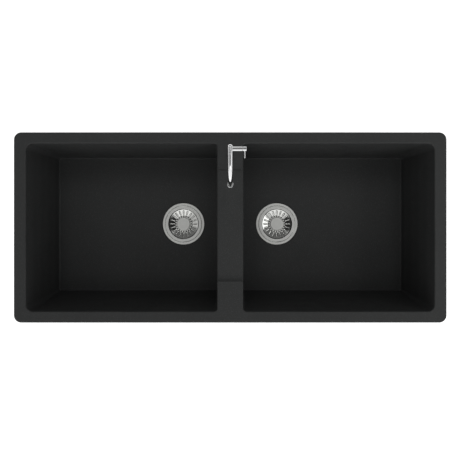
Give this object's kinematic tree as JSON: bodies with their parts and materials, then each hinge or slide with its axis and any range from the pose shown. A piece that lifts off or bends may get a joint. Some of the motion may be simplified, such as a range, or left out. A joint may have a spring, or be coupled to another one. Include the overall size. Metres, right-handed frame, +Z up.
{
  "type": "double bowl kitchen sink",
  "caption": "Black composite drop-in kitchen sink with equal bowls, a dipped divider that carries a slim swivel-spout tap, and lift-out basket strainers.",
  "frame": {"origin": "centre of the worktop cut-out, in the plane of the worktop's surface and the rim's underside", "axes": "+X to the right along the sink, +Y to the back where the tap stands, +Z up"},
  "size_m": [1, 0.44, 0.4618],
  "materials": {
    "composite": "matt quartz composite",
    "strainer_steel": "polished pressed steel",
    "chrome": "bright chrome plate",
    "brass": "machined",
    "fixing_steel": "zinc plated",
    "black_rubber": "matt",
    "seal_rubber": "satin",
    "grey_plastic": "fine spark texture",
    "white_plastic": "moulded",
    "fibre": "pressed fibre",
    "base_ring_finish": "satin graphite"
  },
  "bodies": {
    "sink": {"sink_body": "composite", "clip_inserts": "brass", "left_strainer_cup": "strainer_steel", "left_flange_seal": "seal_rubber", "left_floor_gasket": "black_rubber", "left_friction_ring": "fibre", "left_lock_nut": "white_plastic", "left_tailpiece_washer": "seal_rubber", "left_tailpiece": "white_plastic", "left_coupling_nut": "white_plastic", "right_strainer_cup": "strainer_steel", "right_flange_seal": "seal_rubber", "right_floor_gasket": "black_rubber", "right_friction_ring": "fibre", "right_lock_nut": "white_plastic", "right_tailpiece_washer": "seal_rubber", "right_tailpiece": "white_plastic", "right_coupling_nut": "white_plastic", "tap_base_seal": "seal_rubber", "tap_base_ring": "base_ring_finish", "tap_column": "chrome", "spout_screw": "fixing_steel", "valve_cartridge": "brass", "cartridge_nut": "brass", "tap_shank": "brass", "shank_rubber_washer": "black_rubber", "shank_steel_washer": "fixing_steel", "shank_nut": "brass"},
    "spout_set": {"spout": "chrome", "spout_o_rings": "seal_rubber", "nozzle": "chrome", "nozzle_washer": "seal_rubber", "aerator": "grey_plastic"},
    "lever_set": {"valve_spindle": "brass", "lever_hub": "chrome", "lever_pin": "chrome", "hub_screw": "fixing_steel"},
    "left_basket_set": {"left_basket": "strainer_steel", "left_basket_knob": "strainer_steel", "left_basket_stem": "fixing_steel", "left_stopper_seal": "black_rubber", "left_stem_clip": "fixing_steel"},
    "right_basket_set": {"right_basket": "strainer_steel", "right_basket_knob": "strainer_steel", "right_basket_stem": "fixing_steel", "right_stopper_seal": "black_rubber", "right_stem_clip": "fixing_steel"}
  },
  "joints": [
    {"name": "left_basket_lift", "type": "slide", "parent": "sink", "child": "left_basket_set", "axis": [0, 0, 1], "range_m": [0, 0.075]},
    {"name": "right_basket_lift", "type": "slide", "parent": "sink", "child": "right_basket_set", "axis": [0, 0, 1], "range_m": [0, 0.075]},
    {"name": "spout_swivel", "type": "hinge", "parent": "sink", "child": "spout_set", "pos_m": [0, 0.1645, 0.116], "axis": [0, 0, 1], "range_deg": [-110, 110]},
    {"name": "lever_turn", "type": "hinge", "parent": "sink", "child": "lever_set", "pos_m": [0.0255, 0.1645, 0.103], "axis": [-1, 0, 0], "range_deg": [0, 90]}
  ]
}
